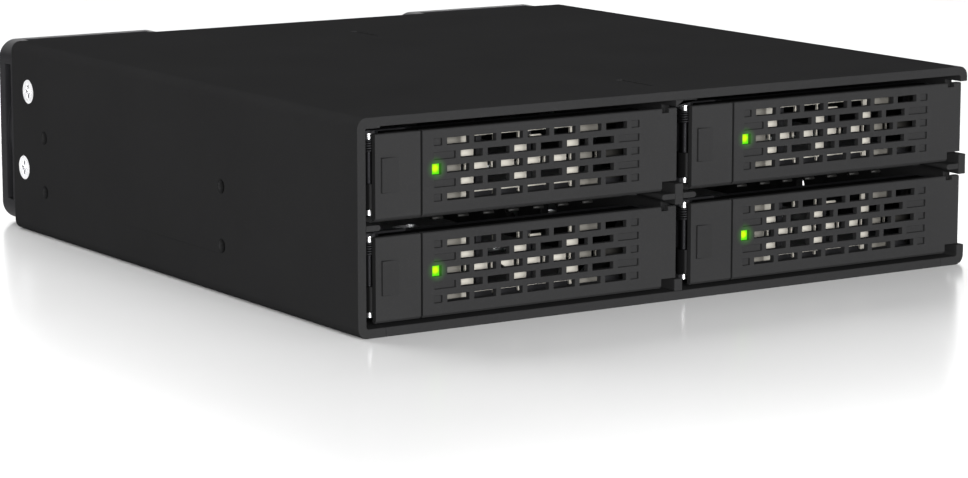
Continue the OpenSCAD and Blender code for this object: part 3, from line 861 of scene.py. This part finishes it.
class CAGE_OT_sockets(bpy.types.Operator):
    """Finish the drive sockets and the cable ports, with their gold contacts"""

    bl_idname = "cage.sockets"
    bl_label = "Sockets and Ports"

    def execute(self, context):
        scene = context.scene
        colours, sizes = scene.cage_colours, scene.cage_sizes
        plastic = moulded_plastic("socket_plastic", colours.plastic, 0.4, 0.16)
        gold = gold_flash("gold_contacts", colours.gold)
        nodes = [f"drive_socket{tray}" for tray in TRAYS] + ["data_ports", "power_ports"]
        finish_nodes(nodes, plastic, sizes.plastic_edge)
        mesh = bmesh.new()
        for tray in TRAYS:
            low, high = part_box(f"drive_socket{tray}")
            roof = low.z + 3.98 * MM
            for start, count in ((3.1, 15), (24.6, 7)):
                for i in range(count):
                    left = low.x + start * MM + i * sizes.contact_pitch
                    self.leaf(mesh, left, low.y + 0.5 * MM, high.y - 1.6 * MM, roof)
        make_piece("socket_contacts", mesh, "cage", gold)
        mesh = bmesh.new()
        wall = 2.6
        for node, count, width, contacts in (("data_ports", 4, 13.8, 13), ("power_ports", 2, 22.8, 15)):
            low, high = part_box(node)
            gap = (high.x - low.x - width * MM) / (count - 1)
            pitch = (width - 2 * wall) * MM / contacts
            back, front = high.y - 7.4 * MM, high.y - 1.75 * MM
            middle = (low.z + high.z) / 2
            for port in range(count):
                tongue = low.x + port * gap + wall * MM
                for i in range(contacts):
                    left = tongue + (i + 0.25) * pitch
                    for z in (middle + 0.2 * MM, middle - 0.95 * MM):
                        add_box(mesh, (left, back, z), (left + pitch * 0.5, front, z + 0.07 * MM))
        make_piece("port_contacts", mesh, "cage", gold)
        return {"FINISHED"}

    @staticmethod
    def leaf(mesh, left, front, back, top):
        """Adds one sprung contact that bows down from the roof of a socket"""
        outline = [
            (back, top),
            (front + 2.2 * MM, top - 0.1 * MM),
            (front + 1.0 * MM, top - 0.75 * MM),
            (front, top - 0.15 * MM),
            (front, top - 0.03 * MM),
            (front + 1.0 * MM, top - 0.6 * MM),
            (front + 2.2 * MM, top + 0.02 * MM),
            (back, top + 0.1 * MM),
        ]
        add_strip(mesh, outline, left, left + 0.55 * MM)


class CAGE_OT_fans(bpy.types.Operator):
    """Finish the fans and put a blank label on each motor"""

    bl_idname = "cage.fans"
    bl_label = "Fans"

    def execute(self, context):
        scene = context.scene
        colours, sizes = scene.cage_colours, scene.cage_sizes
        body = moulded_plastic("fan_plastic", shade(colours.plastic, 1.3), 0.42, 0.2)
        blade = moulded_plastic("blade_plastic", shade(colours.plastic, 1.7), 0.34, 0.3)
        finish_nodes([f"fan_{side}_frame" for side in SIDES], body, sizes.plastic_edge)
        finish_nodes([f"fan_{side}_rotor" for side in SIDES], blade, sizes.fine_edge)
        middle = centre_of("fan_right_frame")
        foil = printed_label("motor_label", (middle.x, middle.z), 6.6)
        for side in SIDES:
            centre = centre_of(f"fan_{side}_frame")
            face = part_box(f"fan_{side}_frame")[1].y - 0.2 * MM
            mesh = bmesh.new()
            self.disc(mesh, Vector((centre.x, face, centre.z)))
            make_piece(f"fan_{side}_label", mesh, "cage", foil)
        return {"FINISHED"}

    @staticmethod
    def disc(mesh, centre, steps=48):
        """Adds a thin round label with a turned-down rim, as rings of a radius and a height in millimetres"""
        loops = []
        turns = [2 * math.pi * k / steps for k in range(steps)]
        for radius, lift in ((5.0, 0.13), (7.6, 0.12), (7.95, 0.06), (8.0, 0.0)):
            points = [Vector((radius * math.cos(a), lift, radius * math.sin(a))) * MM for a in turns]
            loops.append([mesh.verts.new(centre + point) for point in points])
        mesh.faces.new(loops[0])
        for near, far in zip(loops, loops[1:]):
            for k in range(steps):
                mesh.faces.new((near[k], near[(k + 1) % steps], far[(k + 1) % steps], far[k]))


class CAGE_OT_studio(bpy.types.Operator):
    """Lay the floor and set up the lights and the camera"""

    bl_idname = "cage.studio"
    bl_label = "Studio"

    def execute(self, context):
        scene = context.scene
        studio = scene.cage_studio
        mesh = bmesh.new()
        bmesh.ops.create_circle(mesh, cap_ends=True, segments=96, radius=studio.floor_radius)
        make_piece("floor", mesh, None, studio_floor("studio_floor", scene.cage_colours.floor))
        self.lamp("front_light", (-0.48, -1.92, 0.36), 1.5, 0.6, studio.front_power)
        self.lamp("side_light", (-1.8, -0.2, 0.4), 0.8, 0.5, studio.side_power)
        self.lamp("top_light", (0.0, 0.3, 2.2), 2.4, 2.4, studio.top_power)
        self.lamp("back_light", (0.2, 1.7, 1.2), 3.2, 1.8, studio.back_power)
        world = bpy.data.worlds.new("room")
        world.use_nodes = True
        room = world.node_tree.nodes["Background"]
        room.inputs["Color"].default_value = (1.0, 1.0, 1.0, 1.0)
        room.inputs["Strength"].default_value = studio.sky
        scene.world = world
        scene.view_settings.view_transform = "Standard"
        camera = bpy.data.objects.new("camera", bpy.data.cameras.new("camera"))
        camera.data.lens = studio.lens
        camera.data.sensor_width = 36.0
        camera.data.clip_start = 0.01
        camera.location = studio.camera_place
        camera.rotation_euler = studio.camera_turn
        scene.collection.objects.link(camera)
        scene.camera = camera
        return {"FINISHED"}

    @staticmethod
    def lamp(name, place, width, height, power):
        """Adds a soft rectangular light aimed at the cage"""
        data = bpy.data.lights.new(name, "AREA")
        data.shape = "RECTANGLE"
        data.size = width
        data.size_y = height
        data.energy = power
        light = bpy.data.objects.new(name, data)
        light.location = place
        aim = Vector((0.0, 0.0, 0.02)) - Vector(place)
        light.rotation_euler = aim.to_track_quat("-Z", "Y").to_euler()
        bpy.context.scene.collection.objects.link(light)


class CAGE_PT_panel(bpy.types.Panel):
    """Lists the steps, and the sizes and colours they use"""

    bl_idname = "CAGE_PT_panel"
    bl_label = "Drive Cage"
    bl_space_type = "VIEW_3D"
    bl_region_type = "UI"
    bl_category = "Drive Cage"

    def draw(self, context):
        for step in STEPS:
            self.layout.operator(step.bl_idname)
        for group in (context.scene.cage_sizes, context.scene.cage_colours, context.scene.cage_studio):
            column = self.layout.column(align=True)
            for name in group.__annotations__:
                column.prop(group, name)


STEPS = (
    CAGE_OT_studio,
    CAGE_OT_case,
    CAGE_OT_inner_sheets,
    CAGE_OT_doors,
    CAGE_OT_tray_fronts,
    CAGE_OT_tray_beds,
    CAGE_OT_fasteners,
    CAGE_OT_springs,
    CAGE_OT_fingers,
    CAGE_OT_boards,
    CAGE_OT_sockets,
    CAGE_OT_fans,
)
GROUPS = {"cage_sizes": CageSizes, "cage_colours": CageColours, "cage_studio": CageStudio}


def register():
    for group in (*GROUPS.values(), *STEPS, CAGE_PT_panel):
        bpy.utils.register_class(group)
    for name, group in GROUPS.items():
        setattr(bpy.types.Scene, name, PointerProperty(type=group))


def unregister():
    for name in GROUPS:
        delattr(bpy.types.Scene, name)
    for group in (CAGE_PT_panel, *reversed(STEPS), *GROUPS.values()):
        bpy.utils.unregister_class(group)


def main():
    register()
    for step in STEPS:
        area, name = step.bl_idname.split(".")
        getattr(getattr(bpy.ops, area), name)()
    bpy.context.view_layer.update()


if __name__ == "__main__":
    main()
